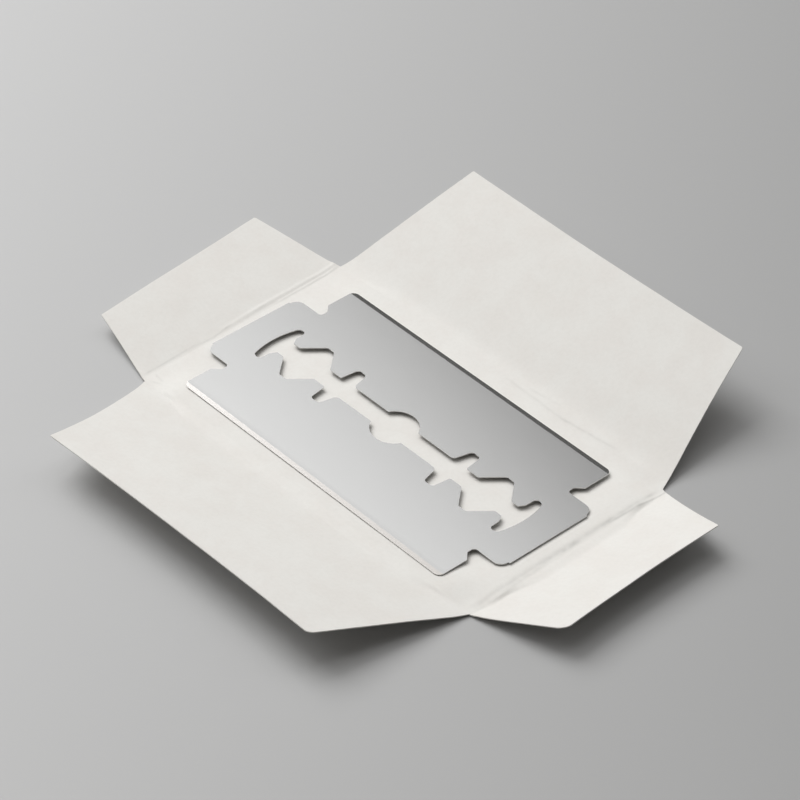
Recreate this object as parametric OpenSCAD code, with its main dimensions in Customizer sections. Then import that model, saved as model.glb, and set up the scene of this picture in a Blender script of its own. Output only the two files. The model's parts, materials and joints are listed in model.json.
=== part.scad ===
// Double-edge razor blade lying on its opened paper wrapper.
// The wrapper is one cross-shaped sheet, cut here at its four fold lines so that each flap can turn.
// Z = 0 is the surface that the middle panel rests on, and X runs along the blade.

/* [Blade] */
// Thickness of the blade
blade_t = 0.1; // [0.08:0.01:0.2]
// Width across the two cutting edges
blade_w = 22; // [18:0.1:27]
// Length over the end tabs
blade_l = 42.9; // [41:0.1:52]
// Length of each cutting edge
edge_l = 37; // [36.4:0.1:38]
// Width of each ground bevel
bevel_w = 0.5; // [0.3:0.05:1]
// Width of the end tabs
tab_w = 11.8; // [10:0.1:13]
// Width of the straight snapped edge at the tip of each tab
snap_w = 9.84; // [8:0.02:9.9]
// Depth of the notch on each side of a tab, from the end of the cutting edge
notch_l = 0.75; // [0.6:0.05:0.9]
// Width of that notch at its mouth
notch_w = 1.63; // [1.2:0.01:2]
// Turn of the loose blade on its paper, in degrees
blade_turn = -1.3; // [-2:0.1:2]
// Place of the blade's middle along the panel
blade_x = -0.55; // [-0.6:0.05:0.6]
// Place of the blade's middle across the panel
blade_y = -0.35; // [-0.6:0.05:0.6]

/* [Blade openings] */
// Diameter of the centre hole
hole_d = 4.86; // [4:0.02:5.4]
// Width of the long slot beside the centre hole
slot_w = 2.22; // [1.8:0.02:2.4]
// Width of the long slot between the teeth
tooth_gap = 2.08; // [1.6:0.02:2.2]
// Width of the openings across the blade
cut_w = 6.2; // [5:0.1:7]
// Distance of each cross slot from the blade's middle
cross_x = 8.2; // [7.8:0.05:8.6]
// Width of a cross slot at its closed ends
cross_w = 1.15; // [1:0.05:1.4]
// Distance of each diamond opening from the blade's middle
diamond_x = 12.95; // [12.8:0.05:13.1]
// Length of a diamond opening along the slot
diamond_l = 4.6; // [4:0.1:5]
// Length of its flat sides
diamond_flat = 1; // [0.9:0.05:1.6]
// Distance between the outer ends of the long slot
slot_l = 36; // [35.4:0.1:36.6]
// Radius of the rounded outer ends of the slot
slot_end_r = 8.7; // [7:0.1:12]
// Width of the curved opening at each end of the slot
end_cut_w = 1.4; // [1.2:0.05:1.6]

/* [Wax spots] */
// Diameter of each wax spot that tacks the blade to the paper
wax_d = 2.4; // [1:0.1:4]
// Height of a wax spot, which is the blade's height above the paper
wax_h = 0.4; // [0.1:0.05:0.8]
// Distance of a spot's middle from the end of the cutting edge
wax_inset_l = 3.5; // [2:0.1:6]
// Distance of a spot's middle from the cutting edge
wax_inset_w = 3.5; // [2:0.1:5]

/* [Wrapper sheet] */
// Thickness of the paper
paper_t = 0.1; // [0.06:0.01:0.2]
// Paper between each end of the blade and the fold line there
end_margin = 1.6; // [1:0.1:5]
// Paper between each cutting edge and the fold line there
side_margin = 1.8; // [1:0.1:5]
// Gap left in the sheet along each fold line
fold_gap = 0.1; // [0.05:0.01:0.3]
// Clear space between two layers of the closed packet
layer_gap = 0.1; // [0.05:0.01:0.3]

/* [Back flap] */
// Reach of the back flap beyond its fold line
back_reach = 15.8; // [8:0.1:22]
// Extra reach of its right corner over its left one
back_skew = -0.8; // [-2:0.1:2]
// How far each side edge leans in by its outer corner
back_taper = 4.15; // [0:0.05:8]
// How far it stands up from flat, in degrees
back_rise = 26; // [0:1:60]

/* [Front flap] */
// Reach of the front flap beyond its fold line
front_reach = 15.7; // [8:0.1:22]
// Extra reach of its left corner over its right one
front_skew = 0; // [-2:0.1:2]
// How far each side edge leans in by its outer corner
front_taper = 4.95; // [0:0.05:8]
// How far it stands up from flat, in degrees
front_rise = 16; // [0:1:60]

/* [Left end flap] */
// Reach of the left flap beyond its fold line
left_reach = 9.6; // [5:0.1:20]
// Extra reach of its back corner over its front one
left_skew = 1.5; // [-2:0.1:2]
// How far each side edge leans in by its outer corner
left_taper = 2.2; // [0:0.05:6]
// How far it stands up from flat, in degrees
left_rise = 11; // [0:1:60]

/* [Right end flap] */
// Reach of the right flap beyond its fold line
right_reach = 9; // [5:0.1:20]
// Extra reach of its front corner over its back one
right_skew = 0.3; // [-2:0.1:2]
// How far each side edge leans in by its outer corner
right_taper = 2.6; // [0:0.05:6]
// How far it stands up from flat, in degrees
right_rise = 18; // [0:1:60]

/* [Hidden] */
$fn = 48;
arc_steps = 5;
paper_white = [0.92, 0.91, 0.89];

// The panel between its fold lines is the blade with a margin all round
panel_l = blade_l + 2 * end_margin;
panel_w = blade_w + 2 * side_margin;

// Levels, from the ground up
blade_z = paper_t + wax_h;
blade_top = blade_z + blade_t;

// Outer height of each closed flap above the ground: the end flaps close first, then front, then back
end_stack = blade_top + layer_gap + paper_t;
front_stack = end_stack + layer_gap + paper_t;
back_stack = front_stack + layer_gap + paper_t;

// The blade's outline and openings are drawn for one quarter as [x, y, corner radius] and mirrored
wing_x = edge_l / 2;
tab_y = tab_w / 2;
tip_x = blade_l / 2;
burr = 0.18;
burr_step = 0.02;
outline_quarter = [
    [wing_x, blade_w / 2, 0.7],
    [wing_x, tab_y + notch_w, 0.12],
    [wing_x - notch_l, tab_y + notch_w - notch_l, 0.32],
    [wing_x - notch_l, tab_y, 0.4],
    [tip_x - burr, tab_y, tab_y - snap_w / 2],
    [tip_x - burr, snap_w / 2 + burr_step, 0],
    [tip_x, snap_w / 2, 0]
];

slot_y = slot_w / 2;
tooth_y = tooth_gap / 2;
cut_y = cut_w / 2;
slot_x = slot_l / 2;
tip_r = 0.42;
tooth_r = 0.25;
// How far a cross slot flares towards the middle, and away from it
cross_flare = [0.5, 0.28];
// Place of the step in the inner wall of the curved end opening
step_x = 0.45;
step_y = 1.4;
end_angle = asin((cut_y - tip_r / 2) / slot_end_r);
end_arc = [
    for (i = [arc_steps : -1 : 0]) let (a = end_angle * i / arc_steps)
        [slot_x - slot_end_r * (1 - cos(a)), slot_end_r * sin(a), i == arc_steps ? 0.35 : 0]
];
slot_quarter = concat(
    [
        [cross_x - cross_w / 2 - cross_flare[0], slot_y, 0.5],
        [cross_x - cross_w / 2, cut_y, tip_r],
        [cross_x + cross_w / 2, cut_y, tip_r],
        [cross_x + cross_w / 2 + cross_flare[1], tooth_y, 0.15],
        [diamond_x - diamond_l / 2, tooth_y, tooth_r],
        [diamond_x - diamond_flat / 2, cut_y, 0.4],
        [diamond_x + diamond_flat / 2, cut_y, 0.4],
        [diamond_x + diamond_l / 2, tooth_y, tooth_r],
        [slot_x - end_cut_w - step_x, tooth_y, 0.15],
        [slot_x - end_cut_w - 0.05, cut_y - step_y, 0.6],
        [slot_x - end_cut_w, cut_y, 0.4]
    ],
    end_arc
);

function flat(p) = [p.x, p.y];
function unit(v) = v / norm(v);

// Points of the arc of radius r that rounds the corner at b between a and c
function corner(a, b, c, r) =
    let (u = unit(a - b), v = unit(c - b), half = acos(u * v) / 2,
         centre = b + unit(u + v) * r / sin(half),
         from = b + u * r / tan(half) - centre,
         to = b + v * r / tan(half) - centre)
    [for (i = [0 : arc_steps]) centre + r * unit(from * (arc_steps - i) + to * i)];

// A closed outline whose corners are rounded by the third value of each point
function rounded(pts) =
    let (n = len(pts))
    [for (i = [0 : n - 1])
        let (b = flat(pts[i]), r = pts[i][2])
        each r == 0 ? [b] : corner(flat(pts[(i + n - 1) % n]), b, flat(pts[(i + 1) % n]), r)];

function flipped(pts, sx, sy) = [for (p = pts) [p.x * sx, p.y * sy, p[2]]];
function backwards(pts) = [for (i = [len(pts) - 1 : -1 : 0]) pts[i]];

// Drops a point that repeats the one before it, as where two quarters meet on the middle line
function distinct(pts) =
    [for (i = [0 : len(pts) - 1])
        if (norm(flat(pts[i]) - flat(pts[(i + len(pts) - 1) % len(pts)])) > 0.0001) pts[i]];

// The closed outline made of one quarter and its three mirror images
function all_quarters(q) = distinct(concat(
    q,
    backwards(flipped(q, 1, -1)),
    flipped(q, -1, -1),
    backwards(flipped(q, -1, 1))
));

// Flat shape of the blade with its centre hole and long slot
module blade_shape() {
    difference() {
        polygon(rounded(all_quarters(outline_quarter)));
        polygon(rounded(all_quarters(slot_quarter)));
        circle(d = hole_d);
    }
}

// Cross-section of the blade, ground on both faces towards each cutting edge
module blade_section() {
    polygon([
        [-blade_w / 2, blade_t / 2],
        [-blade_w / 2 + bevel_w, 0],
        [blade_w / 2 - bevel_w, 0],
        [blade_w / 2, blade_t / 2],
        [blade_w / 2 - bevel_w, blade_t],
        [-blade_w / 2 + bevel_w, blade_t]
    ]);
}

// Puts its children in the blade's own frame, at height z
module on_blade(z) {
    translate([blade_x, blade_y, z])
        rotate(blade_turn)
            children();
}

module blade() {
    color([0.72, 0.73, 0.74])
        on_blade(blade_z)
            intersection() {
                linear_extrude(blade_t) blade_shape();
                rotate([90, 0, 90])
                    linear_extrude(blade_l + 2, center = true) blade_section();
            }
}

// Four spots between the paper and the blade
module wax_spots() {
    color([0.8, 0.79, 0.76])
        on_blade(paper_t)
            for (sx = [-1, 1], sy = [-1, 1])
                translate([sx * (wing_x - wax_inset_l), sy * (blade_w / 2 - wax_inset_w), 0])
                    cylinder(h = wax_h, d = wax_d);
}

// The panel under the blade
module wrapper_base() {
    color(paper_white)
        translate([-(panel_l - fold_gap) / 2, -(panel_w - fold_gap) / 2, 0])
            cube([panel_l - fold_gap, panel_w - fold_gap, paper_t]);
}

// A flap on a fold line of length fold_l at distance dist from the middle. It turns about a line
// half-way up its stack, so that it lies flat on the ground when open and on top when closed.
module flap(dist, fold_l, taper, reach, skew, rise, stack) {
    side = fold_l / 2 - fold_gap / 2;
    tip = fold_l / 2 - taper;
    color(paper_white)
        translate([0, dist, stack / 2])
            rotate([rise, 0, 0])
                translate([0, 0, -stack / 2])
                    linear_extrude(paper_t)
                        polygon([
                            [-side, fold_gap / 2],
                            [side, fold_gap / 2],
                            [tip, reach + skew / 2],
                            [-tip, reach - skew / 2]
                        ]);
}

module wrapper_back_flap() {
    flap(panel_w / 2, panel_l, back_taper, back_reach, back_skew, back_rise, back_stack);
}

module wrapper_front_flap() {
    rotate(180)
        flap(panel_w / 2, panel_l, front_taper, front_reach, front_skew, front_rise, front_stack);
}

module wrapper_left_flap() {
    rotate(90)
        flap(panel_l / 2, panel_w, left_taper, left_reach, left_skew, left_rise, end_stack);
}

module wrapper_right_flap() {
    rotate(-90)
        flap(panel_l / 2, panel_w, right_taper, right_reach, right_skew, right_rise, end_stack);
}

wrapper_base();
wrapper_back_flap();
wrapper_front_flap();
wrapper_left_flap();
wrapper_right_flap();
wax_spots();
blade();
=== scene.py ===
import json
import math

import bpy
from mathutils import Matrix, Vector, noise


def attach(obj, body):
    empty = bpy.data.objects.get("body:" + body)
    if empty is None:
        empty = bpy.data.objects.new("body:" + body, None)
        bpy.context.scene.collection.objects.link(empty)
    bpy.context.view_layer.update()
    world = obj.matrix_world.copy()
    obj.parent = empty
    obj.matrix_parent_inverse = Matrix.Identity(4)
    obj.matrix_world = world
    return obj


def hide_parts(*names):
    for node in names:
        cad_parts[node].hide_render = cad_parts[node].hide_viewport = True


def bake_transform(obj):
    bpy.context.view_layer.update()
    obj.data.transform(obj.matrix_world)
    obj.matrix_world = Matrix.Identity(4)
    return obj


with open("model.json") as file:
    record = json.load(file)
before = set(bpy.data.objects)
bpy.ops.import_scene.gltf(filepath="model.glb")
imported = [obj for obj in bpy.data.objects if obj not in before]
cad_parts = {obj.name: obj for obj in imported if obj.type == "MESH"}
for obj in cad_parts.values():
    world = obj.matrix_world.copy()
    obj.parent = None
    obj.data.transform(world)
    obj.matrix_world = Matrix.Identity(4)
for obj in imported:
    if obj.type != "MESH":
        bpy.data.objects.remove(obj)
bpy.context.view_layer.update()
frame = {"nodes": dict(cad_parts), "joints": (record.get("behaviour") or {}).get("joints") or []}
mm = 0.001  # Blender works in metres; the sizes below are in millimetres
joints = {joint["name"]: joint for joint in frame["joints"]}


cameraSet = {
    "aim": (-3.704, 3.28, 0.0),  # the point on the floor that it looks at
    "distance": 342.17,
    "azimuth": 47.14,  # degrees round from the front
    "elevation": 39.64,  # degrees above the floor
    "lens": 159.2,
}


def makeCamera():
    turn = math.radians(cameraSet["azimuth"])
    tilt = math.radians(cameraSet["elevation"])
    back = Vector((math.sin(turn) * math.cos(tilt), -math.cos(turn) * math.cos(tilt), math.sin(tilt)))
    place = (Vector(cameraSet["aim"]) + back * cameraSet["distance"]) * mm
    bpy.ops.object.camera_add(location=place, rotation=(math.pi / 2 - tilt, 0, turn))
    camera = bpy.context.active_object
    camera.name = "productCamera"
    camera.data.lens = cameraSet["lens"]
    camera.data.clip_start = 0.01
    bpy.context.scene.camera = camera
    print("camera placed")


makeCamera()


def smoothStep(value):
    value = min(1.0, max(0.0, value))
    return value * value * (3 - 2 * value)


def mix(first, second, share):
    return first + (second - first) * share


def deselectAll():
    if bpy.context.object and bpy.context.object.mode != "OBJECT":
        bpy.ops.object.mode_set(mode="OBJECT")
    bpy.ops.object.select_all(action="DESELECT")


def newMaterial(name):
    material = bpy.data.materials.new(name)
    material.use_nodes = True
    nodes = material.node_tree.nodes
    return material, nodes, material.node_tree.links, nodes["Principled BSDF"]


def addNode(nodes, kind, **settings):
    node = nodes.new(kind)
    for key, value in settings.items():
        if key in node.inputs:
            node.inputs[key].default_value = value
        else:
            setattr(node, key, value)
    return node


def setColours(ramp, stops):
    elements = ramp.color_ramp.elements
    while len(elements) < len(stops):
        elements.new(0.5)
    for element, (place, colour) in zip(elements, stops):
        element.position = place
        element.color = (*colour, 1)


paperLook = {
    "colour": (0.8, 0.785, 0.752),
    "mottle": (0.783, 0.76, 0.725),  # slightly warmer patches
    # painted shade for the creases and wrinkles, also used for one real wax mark
    "crease": (0.5, 0.49, 0.465),
    "roughness": 0.72,
}


def paperMaterial():
    material, nodes, links, shader = newMaterial("wrapperPaper")
    place = addNode(nodes, "ShaderNodeTexCoord")
    cloud = addNode(nodes, "ShaderNodeTexNoise", Scale=260.0, Detail=4.0, Roughness=0.6)
    fibre = addNode(nodes, "ShaderNodeTexNoise", Scale=2600.0, Detail=3.0, Roughness=0.55)
    grain = addNode(nodes, "ShaderNodeTexNoise", Scale=7000.0, Detail=2.0)
    for texture in (cloud, fibre, grain):
        links.new(place.outputs["Object"], texture.inputs["Vector"])
    tone = addNode(nodes, "ShaderNodeValToRGB")
    setColours(tone, [(0.38, paperLook["mottle"]), (0.6, paperLook["colour"])])
    links.new(cloud.outputs["Fac"], tone.inputs["Fac"])
    fleck = addNode(nodes, "ShaderNodeMix", data_type="RGBA", blend_type="MULTIPLY")
    fleck.inputs["Factor"].default_value = 0.25
    speck = addNode(nodes, "ShaderNodeValToRGB")
    setColours(speck, [(0.3, (0.9, 0.9, 0.89)), (0.6, (1.0, 1.0, 1.0))])
    links.new(fibre.outputs["Fac"], speck.inputs["Fac"])
    links.new(tone.outputs["Color"], fleck.inputs["A"])
    links.new(speck.outputs["Color"], fleck.inputs["B"])
    # Painted shade darkens the creases and wrinkles; the same attribute also carries one real wax mark
    fold = addNode(nodes, "ShaderNodeAttribute", attribute_name="crease")
    creaseShadeAndWax = addNode(nodes, "ShaderNodeMix", data_type="RGBA", blend_type="MIX")
    creaseShadeAndWax.inputs["B"].default_value = (*paperLook["crease"], 1)
    links.new(fold.outputs["Fac"], creaseShadeAndWax.inputs["Factor"])
    links.new(fleck.outputs["Result"], creaseShadeAndWax.inputs["A"])
    links.new(creaseShadeAndWax.outputs["Result"], shader.inputs["Base Color"])
    bumpSum = addNode(nodes, "ShaderNodeMath", operation="ADD")
    links.new(fibre.outputs["Fac"], bumpSum.inputs[0])
    links.new(grain.outputs["Fac"], bumpSum.inputs[1])
    bump = addNode(nodes, "ShaderNodeBump", Strength=0.35, Distance=0.00001)
    links.new(bumpSum.outputs["Value"], bump.inputs["Height"])
    links.new(bump.outputs["Normal"], shader.inputs["Normal"])
    shader.inputs["Roughness"].default_value = paperLook["roughness"]
    shader.inputs["Specular IOR Level"].default_value = 0.3
    return material


steelLook = {
    "colour": (0.6, 0.6, 0.597),
    "roughness": 0.21,
    "reflectionLeftEnd": (0.62, 0.6, 0.58),  # painted reflection on the near ground edge, at its two ends
    "reflectionRightEnd": (0.5, 0.48, 0.46),
    "edgeRoughness": 0.1,
    "turn": 1.3,  # degrees that bring the blade square with the axes
    "offset": 0.362,  # and the shift across that then centres it
}


def steelMaterial():
    material, nodes, links, shader = newMaterial("brushedBladeSteel")
    place = addNode(nodes, "ShaderNodeTexCoord")
    along = addNode(nodes, "ShaderNodeMapping")
    along.inputs["Rotation"].default_value = (0, 0, math.radians(steelLook["turn"]))
    along.inputs["Scale"].default_value = (250, 16000, 250)  # long streaks along the blade
    links.new(place.outputs["Object"], along.inputs["Vector"])
    streak = addNode(nodes, "ShaderNodeTexNoise", Scale=1.0, Detail=3.0, Roughness=0.6)
    links.new(along.outputs["Vector"], streak.inputs["Vector"])
    tone = addNode(nodes, "ShaderNodeValToRGB")
    dark = tuple(part * 0.94 for part in steelLook["colour"])
    setColours(tone, [(0.3, dark), (0.7, steelLook["colour"])])
    links.new(streak.outputs["Fac"], tone.inputs["Fac"])
    across = addNode(nodes, "ShaderNodeMapping")
    across.inputs["Rotation"].default_value = (0, 0, math.radians(steelLook["turn"]))
    across.inputs["Location"].default_value = (0, steelLook["offset"] * mm, 0)
    links.new(place.outputs["Object"], across.inputs["Vector"])
    split = addNode(nodes, "ShaderNodeSeparateXYZ")
    links.new(across.outputs["Vector"], split.inputs["Vector"])
    rim = addNode(nodes, "ShaderNodeMapRange")
    rim.inputs["From Min"].default_value = -0.0095
    rim.inputs["From Max"].default_value = -0.0106
    links.new(split.outputs["Y"], rim.inputs["Value"])
    band = addNode(nodes, "ShaderNodeValToRGB")  # a slightly darker line beside the ground edge
    setColours(band, [(0.35, (1, 1, 1)), (0.88, (0.93, 0.93, 0.93))])
    links.new(rim.outputs["Result"], band.inputs["Fac"])
    darkenedBesideEdge = addNode(nodes, "ShaderNodeMix", data_type="RGBA", blend_type="MULTIPLY")
    darkenedBesideEdge.inputs["Factor"].default_value = 1.0
    links.new(tone.outputs["Color"], darkenedBesideEdge.inputs["A"])
    links.new(band.outputs["Color"], darkenedBesideEdge.inputs["B"])
    # The near ground edge gets a warm painted reflection, lighter at the left end and darker at the right
    ground = addNode(nodes, "ShaderNodeMapRange")
    ground.inputs["From Min"].default_value = -0.01048
    ground.inputs["From Max"].default_value = -0.01052
    links.new(split.outputs["Y"], ground.inputs["Value"])
    lengthwise = addNode(nodes, "ShaderNodeMapRange")
    lengthwise.inputs["From Min"].default_value = -0.018
    lengthwise.inputs["From Max"].default_value = 0.018
    links.new(split.outputs["X"], lengthwise.inputs["Value"])
    edge = addNode(nodes, "ShaderNodeValToRGB")
    setColours(edge, [(0.0, steelLook["reflectionLeftEnd"]), (1.0, steelLook["reflectionRightEnd"])])
    links.new(lengthwise.outputs["Result"], edge.inputs["Fac"])
    whole = addNode(nodes, "ShaderNodeMix", data_type="RGBA", blend_type="MIX")
    links.new(ground.outputs["Result"], whole.inputs["Factor"])
    links.new(darkenedBesideEdge.outputs["Result"], whole.inputs["A"])
    links.new(edge.outputs["Color"], whole.inputs["B"])
    links.new(whole.outputs["Result"], shader.inputs["Base Color"])
    gloss = addNode(nodes, "ShaderNodeMapRange")
    gloss.inputs["To Min"].default_value = steelLook["roughness"] - 0.03
    gloss.inputs["To Max"].default_value = steelLook["roughness"] + 0.03
    links.new(streak.outputs["Fac"], gloss.inputs["Value"])
    polish = addNode(nodes, "ShaderNodeMix", data_type="FLOAT")
    polish.inputs["B"].default_value = steelLook["edgeRoughness"]
    links.new(ground.outputs["Result"], polish.inputs["Factor"])
    links.new(gloss.outputs["Result"], polish.inputs["A"])
    links.new(polish.outputs["Result"], shader.inputs["Roughness"])
    bump = addNode(nodes, "ShaderNodeBump", Strength=0.2, Distance=0.000002)
    links.new(streak.outputs["Fac"], bump.inputs["Height"])
    links.new(bump.outputs["Normal"], shader.inputs["Normal"])
    shader.inputs["Metallic"].default_value = 1.0
    return material


def waxMaterial():
    material, nodes, links, shader = newMaterial("waxSpot")
    place = addNode(nodes, "ShaderNodeTexCoord")
    cloud = addNode(nodes, "ShaderNodeTexNoise", Scale=1500.0, Detail=2.0)
    links.new(place.outputs["Object"], cloud.inputs["Vector"])
    tone = addNode(nodes, "ShaderNodeValToRGB")
    setColours(tone, [(0.35, (0.5, 0.5, 0.46)), (0.65, (0.62, 0.62, 0.58))])
    links.new(cloud.outputs["Fac"], tone.inputs["Fac"])
    links.new(tone.outputs["Color"], shader.inputs["Base Color"])
    bump = addNode(nodes, "ShaderNodeBump", Strength=0.4, Distance=0.00004)
    links.new(cloud.outputs["Fac"], bump.inputs["Height"])
    links.new(bump.outputs["Normal"], shader.inputs["Normal"])
    shader.inputs["Roughness"].default_value = 0.38
    return material


wrapperSet = {
    "thickness": 0.1,
    "seamX": 22.3,  # the bottom panel ends here, just inside the fold lines
    "seamY": 12.1,
    "longCells": 120,  # cells along the long and the short side
    "shortCells": 96,
    "foldRows": 16,  # rows of cells across a fold
    "flapRows": 54,
    "longBend": 2.2,  # half the width over which a long flap curves up
    "creaseBend": 0.07,
    "foldSpan": {"long": (0.35, 0.55), "end": (0.35, 0.45)},  # how far a fold turns, in and out of its line
    "notches": {
        "backLeft": (-22.95, 12.95),
        "backRight": (22.85, 12.25),
        "frontLeft": (-22.4, -13.2),
        "frontRight": (22.9, -12.95),
    },
}

# Each tip is the place along the fold line and the reach up the flap. Bows are how far an edge swells out
flapSet = {
    "back": {
        "tips": ((-18.9, 16.18), (18.94, 15.44)),
        "notches": ("backLeft", "backRight"),
        "sideBows": (0.04, -0.18),
        "outerBow": -0.2,
        "rounds": (0.1, 0.2),
    },
    "front": {
        "tips": ((-18.26, 15.6), (18.27, 15.78)),
        "notches": ("frontLeft", "frontRight"),
        "sideBows": (-0.5, -0.04),
        "outerBow": -0.28,
        "rounds": (0.12, 0.5),
    },
    "left": {
        "tips": ((-10.88, 8.88), (10.56, 10.46)),
        "notches": ("frontLeft", "backLeft"),
        "sideBows": (-0.1, 0.05),
        "outerBow": 0.0,
        "rounds": (0.08, 0.15),
    },
    "right": {
        "tips": ((-10.1, 9.6), (9.95, 9.25)),
        "notches": ("frontRight", "backRight"),
        "sideBows": (0.03, -0.15),
        "outerBow": -0.22,
        "rounds": (0.8, 0.1),
    },
}

creaseSet = {
    "left": {"inner": 0.05, "outer": 0.45, "wander": 0.1, "seed": 3.1},
    "right": {"inner": 0.5, "outer": 0.12, "wander": 0.03, "seed": 8.7},
}


archSet = {
    "back": 0.1,
    "front": 0.3,
    "left": 0.0,
    "right": 0.28,
}

strokes = [  # creases and marks in plan: rise lifts the paper along them, shade paints crease shadow into its colour
    {"ends": ((-23.3, -12.9), (-23.44, -5.9)), "width": 0.1, "shade": 0.42, "rise": -0.012},
    {"ends": ((-23.46, -6.6), (-23.1, -3.4)), "width": 0.1, "shade": 0.3, "rise": -0.01, "fade": 0.5},
    {"ends": ((-23.2, -3.9), (-23.55, -1.2)), "width": 0.1, "shade": 0.5, "fade": 0.4},
    {"ends": ((-23.5, -2.8), (-23.72, 3.5)), "width": 0.16, "rise": 0.045},
    {"ends": ((-23.68, 1.6), (-23.68, 13.4)), "width": 0.16, "rise": 0.06},
    {"ends": ((-23.32, -0.4), (-23.4, 8.2)), "width": 0.08, "shade": 0.26, "rise": -0.01},
    {"ends": ((-23.45, 7.6), (-23.5, 13.1)), "width": 0.07, "shade": 0.14, "rise": -0.01},
    {"ends": ((-23.2, 4.2), (-23.24, 13.2)), "width": 0.13, "rise": 0.045},
    {"ends": ((-22.3, -12.8), (-20.6, -12.2)), "width": 0.16, "shade": 0.2, "rise": 0.02, "fade": 0.5},
    {"ends": ((-23.0, -11.6), (-21.0, -11.9)), "width": 0.12, "shade": 0.2, "rise": 0.02, "fade": 0.5},
    {"ends": ((22.4, -12.6), (22.5, -2.2)), "width": 0.3, "shade": 0.36, "fade": 1.6},
    {"ends": ((22.55, -4.0), (22.7, 6.5)), "width": 0.34, "shade": 0.5, "fade": 1.6},
    {"ends": ((22.68, 4.0), (22.66, 12.1)), "width": 0.26, "shade": 0.5, "fade": 1.4},
    # a real wax mark on the paper, not painted shade
    {"ends": ((22.72, -1.2), (22.78, 1.2)), "width": 0.26, "shade": 0.5, "fade": 0.4},
    {"ends": ((22.98, 4.7), (23.03, 9.6)), "width": 0.13, "shade": 0.6, "rise": -0.012},
    {"ends": ((23.0, 8.2), (23.45, 12.6)), "width": 0.12, "shade": 0.75, "rise": -0.014, "fade": 0.8},
    {"ends": ((23.05, -12.6), (22.95, -2.6)), "width": 0.2, "shade": 0.26, "fade": 1.4},
    {"ends": ((1.0, 12.85), (10.6, 12.4)), "width": 0.12, "shade": 0.22, "rise": 0.012},
    {"ends": ((8.6, 12.42), (16.6, 13.0)), "width": 0.12, "shade": 0.3, "rise": 0.012},
    {"ends": ((3.6, 13.2), (8.2, 13.5)), "width": 0.12, "shade": 0.22},
    {"ends": ((-9.5, -14.1), (4.5, -14.3)), "width": 0.22, "rise": 0.03, "wander": 0.2},
    {"ends": ((-2.0, -13.6), (14.5, -14.2)), "width": 0.2, "rise": 0.03, "wander": 0.2},
]

sideAxes = {  # along the fold line, and out from the middle
    "back": ((1, 0), (0, 1)),
    "front": ((1, 0), (0, -1)),
    "left": ((0, 1), (-1, 0)),
    "right": ((0, 1), (1, 0)),
}


def toPlan(side, along, out):
    (alongX, alongY), (outX, outY) = sideAxes[side]
    return along * alongX + out * outX, along * alongY + out * outY


def fromPlan(side, x, y):
    (alongX, alongY), (outX, outY) = sideAxes[side]
    return x * alongX + y * alongY, x * outX + y * outY


# Where a flap turns, how far it stands up, and where its slope meets the bottom panel
def foldSizes(side):
    joint = joints[side + "_fold"]
    place = [value / mm for value in joint["pos_m"]]
    line = fromPlan(side, place[0], place[1])[1]
    rise = math.radians(-joint["range_deg"][0])
    radius = place[2] - wrapperSet["thickness"] / 2
    return {
        "line": line,
        "rise": rise,
        "foot": line + radius * math.sin(rise),
        "corner": line + radius * math.tan(rise / 2),
    }


folds = {side: foldSizes(side) for side in sideAxes}


# Nothing before a bend, the distance after it, and a smooth curve between
def softRamp(distance, half):
    if distance <= -half:
        return 0.0
    if distance >= half:
        return distance
    return (distance + half) ** 2 / (4 * half)


# The inner and outer crease of an end flap, which run together at the notches
def creaseLines(side, y):
    crease = creaseSet[side]
    fold = folds[side]
    lens = max(0.12, 1 - (abs(y) / 13) ** 6)
    stray = crease["wander"] * noise.noise(Vector((crease["seed"], y * 0.35, 0)))
    inner = fold["corner"] - crease["inner"] * lens + stray
    outer = fold["corner"] + crease["outer"] * lens + stray
    return inner, outer


def endLift(side, out, y):
    fold = folds[side]
    crease = creaseSet[side]
    inner, outer = creaseLines(side, y)
    innerShare = crease["outer"] / (crease["inner"] + crease["outer"])
    slope = math.tan(fold["rise"])
    bend = wrapperSet["creaseBend"]
    return slope * (innerShare * softRamp(out - inner, bend) + (1 - innerShare) * softRamp(out - outer, bend))


def longLift(side, out):
    fold = folds[side]
    return math.tan(fold["rise"]) * softRamp(out - fold["corner"], wrapperSet["longBend"])


# Slow, shallow waves of the paper, stronger away from the bottom panel
def relief(x, y):
    away = smoothStep((max(abs(x) - 22, abs(y) - 12, 0)) / 9)
    slow = noise.noise(Vector((x * 0.09, y * 0.13, 4.2))) + 0.5
    quick = noise.noise(Vector((x * 0.33, y * 0.27, 9.1))) + 0.5
    return mix(0.012, 0.07, away) * slow + mix(0.008, 0.022, away) * quick


# How far the paper arches up beside a fold, towards the blade above it
def archUp(side, along, out):
    line = folds[side]["line"]
    isLong = side in ("back", "front")
    fade = 1 - smoothStep((abs(along) - (18.5 if isLong else 8.5)) / 3.5)
    decay = mix(1.6, 0.5, smoothStep((abs(along) - (15 if isLong else 5)) / 4))
    return archSet[side] * fade * smoothStep((out - line + 6) / 4.5) * (1 - smoothStep((out - line) / decay))


# 1 on a crease stroke, falling to 0 beside it and at its ends
def strokeShare(stroke, x, y):
    (startX, startY), (endX, endY) = stroke["ends"]
    runX, runY = endX - startX, endY - startY
    length = math.hypot(runX, runY)
    along = ((x - startX) * runX + (y - startY) * runY) / length
    if not 0 < along < length:
        return 0.0
    aside = ((x - startX) * runY - (y - startY) * runX) / length
    aside += stroke.get("wander", 0.05) * noise.noise(Vector((x * 0.9, y * 0.9, stroke["width"] * 50)))
    if abs(aside) > stroke["width"] * 3:
        return 0.0
    reach = stroke.get("fade", 1.2)
    fade = smoothStep(along / reach) * smoothStep((length - along) / reach)
    return math.exp(-((aside / stroke["width"]) ** 2)) * fade


def ridges(x, y):
    return sum(stroke["rise"] * strokeShare(stroke, x, y) for stroke in strokes if "rise" in stroke)


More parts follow.
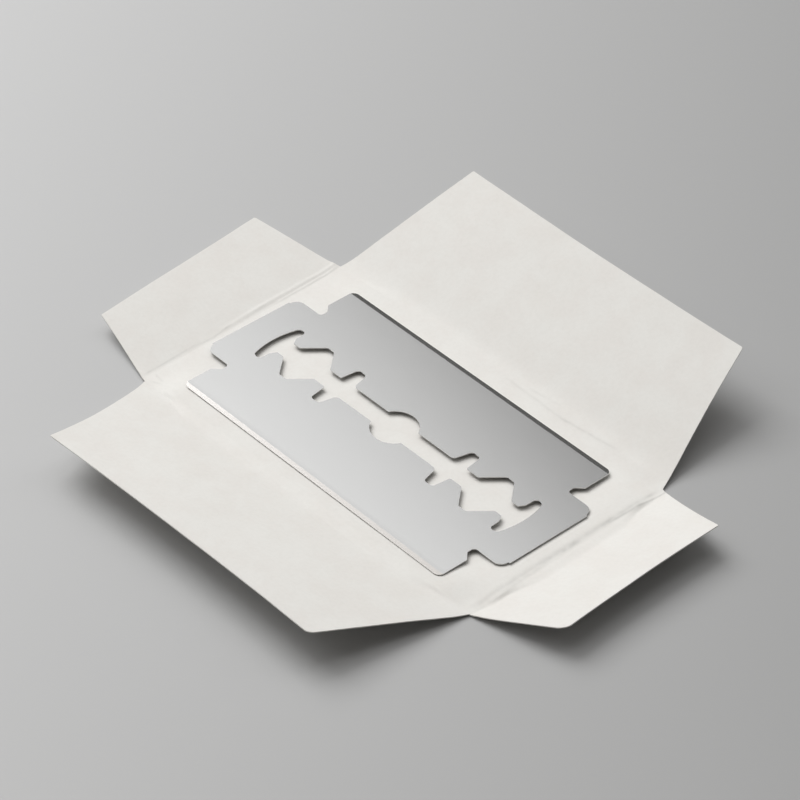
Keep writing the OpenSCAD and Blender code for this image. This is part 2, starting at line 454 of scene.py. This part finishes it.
# Height of the middle of the paper over a point, seen from above
def sheetHeight(x, y):
    endSide = "left" if x < 0 else "right"
    longSide = "front" if y < 0 else "back"
    endFade = 1 - smoothStep((abs(y) - wrapperSet["seamY"]) / 3)
    longFade = 1 - smoothStep((abs(x) - wrapperSet["seamX"]) / 4)
    ends = endLift(endSide, abs(x), y)
    longs = longLift(longSide, abs(y))
    if abs(x) > abs(y) * 1.9:
        longs *= longFade
    else:
        ends *= endFade
    arch = archUp(endSide, y, abs(x)) + archUp(longSide, x, abs(y))
    return wrapperSet["thickness"] / 2 + ends + longs + min(arch, 0.31) + relief(x, y) + ridges(x, y)


# Shares that lie closer together at both ends
def closer(share):
    return share - 0.11 * math.sin(2 * math.pi * share)


# A point on a flap's cut side edge, from its notch to its tip; end is 0 or 1
def flapEdge(side, end, share):
    flap = flapSet[side]
    fold = folds[side]
    notch = fromPlan(side, *wrapperSet["notches"][flap["notches"][end]])
    along, reach = flap["tips"][end]
    tip = (along, fold["foot"] + reach * math.cos(fold["rise"]))
    outward = -1 if end == 0 else 1
    swell = flap["sideBows"][end] * 4 * share * (1 - share)
    swell += 0.02 * noise.noise(Vector((share * 40, end * 7.3, fold["line"])))
    return mix(notch[0], tip[0], share) + outward * swell, mix(notch[1], tip[1], share)


# A point of a flap seen from above: across is a share, and row counts out from the seam
def flapPoint(side, across, row):
    flap = flapSet[side]
    width, seamOut = wrapperSet["seamX"], wrapperSet["seamY"]
    if side in ("left", "right"):
        width, seamOut = seamOut, width
    if row <= wrapperSet["foldRows"]:
        share = row / wrapperSet["foldRows"]
        edges = []
        for end, corner in enumerate((-width, width)):
            notch = fromPlan(side, *wrapperSet["notches"][flap["notches"][end]])
            edges.append((mix(corner, notch[0], share), mix(seamOut, notch[1], share)))
        (alongA, outA), (alongB, outB) = edges
        return mix(alongA, alongB, across), mix(outA, outB, across)
    share = (row - wrapperSet["foldRows"]) / wrapperSet["flapRows"]
    share = mix(share ** 1.8, 1 - (1 - share) ** 1.3, share)
    (alongA, outA), (alongB, outB) = (flapEdge(side, end, share) for end in (0, 1))
    along, out = mix(alongA, alongB, across), mix(outA, outB, across)
    out += share * flap["outerBow"] * 4 * across * (1 - across)
    for end in (0, 1):
        radius = flap["rounds"][end]
        width = abs(alongB - alongA)
        height = flapEdge(side, end, 1)[1] - flapEdge(side, end, 0)[1]
        aside = (across if end == 0 else 1 - across) * width
        below = (1 - share) * height
        if aside < radius and below < radius:
            sideways, upward = 1 - aside / radius, 1 - below / radius
            outward = -1 if end == 0 else 1
            along += outward * radius * sideways * (math.sqrt(1 - upward ** 2 / 2) - 1)
            out += radius * upward * (math.sqrt(1 - sideways ** 2 / 2) - 1)
    return along, out


# How much painted crease shade, and the one real wax mark, darken the paper at a point
def creaseShadeAndWaxMark(x, y):
    mark = 0.0
    for stroke in strokes:
        if "shade" in stroke:
            share = strokeShare(stroke, x, y)
            mark += stroke["shade"] * share * (0.75 + 0.5 * noise.noise(Vector((x * 1.7, y * 1.7, 6.0))))
    return min(1.0, mark)


# A flat grid primitive of that many cells, with its corners at -1 and 1
def addPanel(name, columns, rows):
    deselectAll()
    bpy.ops.mesh.primitive_grid_add(x_subdivisions=columns, y_subdivisions=rows, size=2)
    panel = bpy.context.active_object
    panel.name = name
    panel.data.name = name
    return panel


# Gives the shaped sheet its thickness, its painted crease shade and wax mark, and its paper
def finishPanel(panel, paper):
    deselectAll()
    panel.select_set(True)
    bpy.context.view_layer.objects.active = panel
    bpy.ops.object.mode_set(mode="EDIT")
    bpy.ops.mesh.select_all(action="SELECT")
    bpy.ops.mesh.normals_make_consistent(inside=False)
    bpy.ops.object.mode_set(mode="OBJECT")
    mark = panel.data.attributes.new("crease", "FLOAT", "POINT")
    mark.data.foreach_set("value", [creaseShadeAndWaxMark(v.co.x / mm, v.co.y / mm) for v in panel.data.vertices])
    wall = panel.modifiers.new("paperThickness", "SOLIDIFY")
    wall.thickness = wrapperSet["thickness"] * mm
    wall.offset = 0
    bpy.ops.object.modifier_apply(modifier=wall.name)
    bpy.ops.object.shade_smooth_by_angle(angle=math.radians(40))
    panel.data.materials.append(paper)


def makeBottom(paper):
    columns, rows = wrapperSet["longCells"], wrapperSet["shortCells"]
    panel = addPanel("wrapper_bottom", columns, rows)
    for vertex in panel.data.vertices:
        x = (closer((vertex.co.x + 1) / 2) * 2 - 1) * wrapperSet["seamX"]
        y = (closer((vertex.co.y + 1) / 2) * 2 - 1) * wrapperSet["seamY"]
        vertex.co = Vector((x, y, sheetHeight(x, y))) * mm
    finishPanel(panel, paper)
    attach(panel, "wrapper")
    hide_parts("wrapper_base")
    print("wrapper bottom made")


def makeFlap(side, paper):
    isLong = side in ("back", "front")
    columns = wrapperSet["longCells"] if isLong else wrapperSet["shortCells"]
    rows = wrapperSet["foldRows"] + wrapperSet["flapRows"]
    panel = addPanel(side + "_flap", columns, rows)
    for vertex in panel.data.vertices:
        across = closer((vertex.co.x + 1) / 2)
        row = round((vertex.co.y + 1) / 2 * rows)
        x, y = toPlan(side, *flapPoint(side, across, row))
        vertex.co = Vector((x, y, sheetHeight(x, y))) * mm
    finishPanel(panel, paper)
    body = side + "_flap"
    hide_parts("wrapper_" + body)
    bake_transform(panel)
    print(side, "flap made")


def finishNode(name, material):
    node = frame["nodes"][name]
    node.data.materials.clear()
    node.data.materials.append(material)


studioSet = {
    # The two floor colours are painted light falloff: lighter on the left of the view, darker on the right
    "floor": (0.585, 0.585, 0.585),
    "floorShadedSide": (0.365, 0.365, 0.365),
    "floorTurn": -47,
    "fillColour": (1.0, 0.985, 0.94),
    "fillLevel": 0.12,
    "glossLevel": 0.1,
    "roomLevel": 0.5,
    "turn": -15,  # how the large box is turned over the table
    "boxes": {
        "wideBox": ((-0.48, -0.045, 0.55), (1.1, 1.0), 4.1),
        "keyBox": ((-0.41, 0.0, 0.55), (0.44, 0.44), 2.6),
        "backBox": ((0.2, 0.5, 0.5), (0.5, 0.4), 0.4),
    },
}


def makeFloor():
    deselectAll()
    bpy.ops.mesh.primitive_plane_add(size=4, location=(0, 0, -0.00001))
    floor = bpy.context.active_object
    floor.name = "studioFloor"
    material, nodes, links, shader = newMaterial("paleGreyFloorPaintedFalloff")
    place = addNode(nodes, "ShaderNodeTexCoord")
    turn = addNode(nodes, "ShaderNodeMapping", vector_type="POINT")
    turn.inputs["Rotation"].default_value = (0, 0, math.radians(studioSet["floorTurn"]))
    links.new(place.outputs["Object"], turn.inputs["Vector"])
    split = addNode(nodes, "ShaderNodeSeparateXYZ")
    links.new(turn.outputs["Vector"], split.inputs["Vector"])
    across = addNode(nodes, "ShaderNodeMapRange")
    across.inputs["From Min"].default_value = -0.06
    across.inputs["From Max"].default_value = 0.06
    links.new(split.outputs["X"], across.inputs["Value"])
    # Painted light falloff across the floor, lighter on the left of the view and darker on the right
    tone = addNode(nodes, "ShaderNodeValToRGB")
    setColours(tone, [(0.0, studioSet["floor"]), (1.0, studioSet["floorShadedSide"])])
    links.new(across.outputs["Result"], tone.inputs["Fac"])
    links.new(tone.outputs["Color"], shader.inputs["Base Color"])
    shader.inputs["Roughness"].default_value = 0.9
    shader.inputs["Specular IOR Level"].default_value = 0.1
    floor.data.materials.append(material)


def makeLights():
    for name, (place, size, power) in studioSet["boxes"].items():
        bpy.ops.object.light_add(type="AREA", location=place)
        box = bpy.context.active_object
        box.name = name
        box.data.shape = "RECTANGLE"
        box.data.size, box.data.size_y = size
        box.data.energy = power
        if name == "wideBox":
            box.rotation_euler = (0, 0, math.radians(studioSet["turn"]))
        else:
            box.rotation_euler = (-box.location).to_track_quat("-Z", "Y").to_euler()
    world = bpy.data.worlds.new("studioRoom")
    bpy.context.scene.world = world
    world.use_nodes = True
    nodes, links = world.node_tree.nodes, world.node_tree.links
    background = nodes["Background"]
    background.inputs["Color"].default_value = (*studioSet["fillColour"], 1)
    ray = addNode(nodes, "ShaderNodeLightPath")
    gloss = addNode(nodes, "ShaderNodeMapRange")
    gloss.inputs["To Min"].default_value = studioSet["fillLevel"]
    gloss.inputs["To Max"].default_value = studioSet["glossLevel"]
    links.new(ray.outputs["Is Glossy Ray"], gloss.inputs["Value"])
    seen = addNode(nodes, "ShaderNodeMix", data_type="FLOAT")
    seen.inputs["B"].default_value = studioSet["roomLevel"]
    links.new(ray.outputs["Is Camera Ray"], seen.inputs["Factor"])
    links.new(gloss.outputs["Result"], seen.inputs["A"])
    links.new(seen.outputs["Result"], background.inputs["Strength"])
    bpy.context.scene.view_settings.view_transform = "Standard"
    print("studio lit")


makeFloor()
makeLights()
paper = paperMaterial()
makeBottom(paper)
for side in sideAxes:
    makeFlap(side, paper)
finishNode("blade", steelMaterial())
finishNode("wax_spots", waxMaterial())
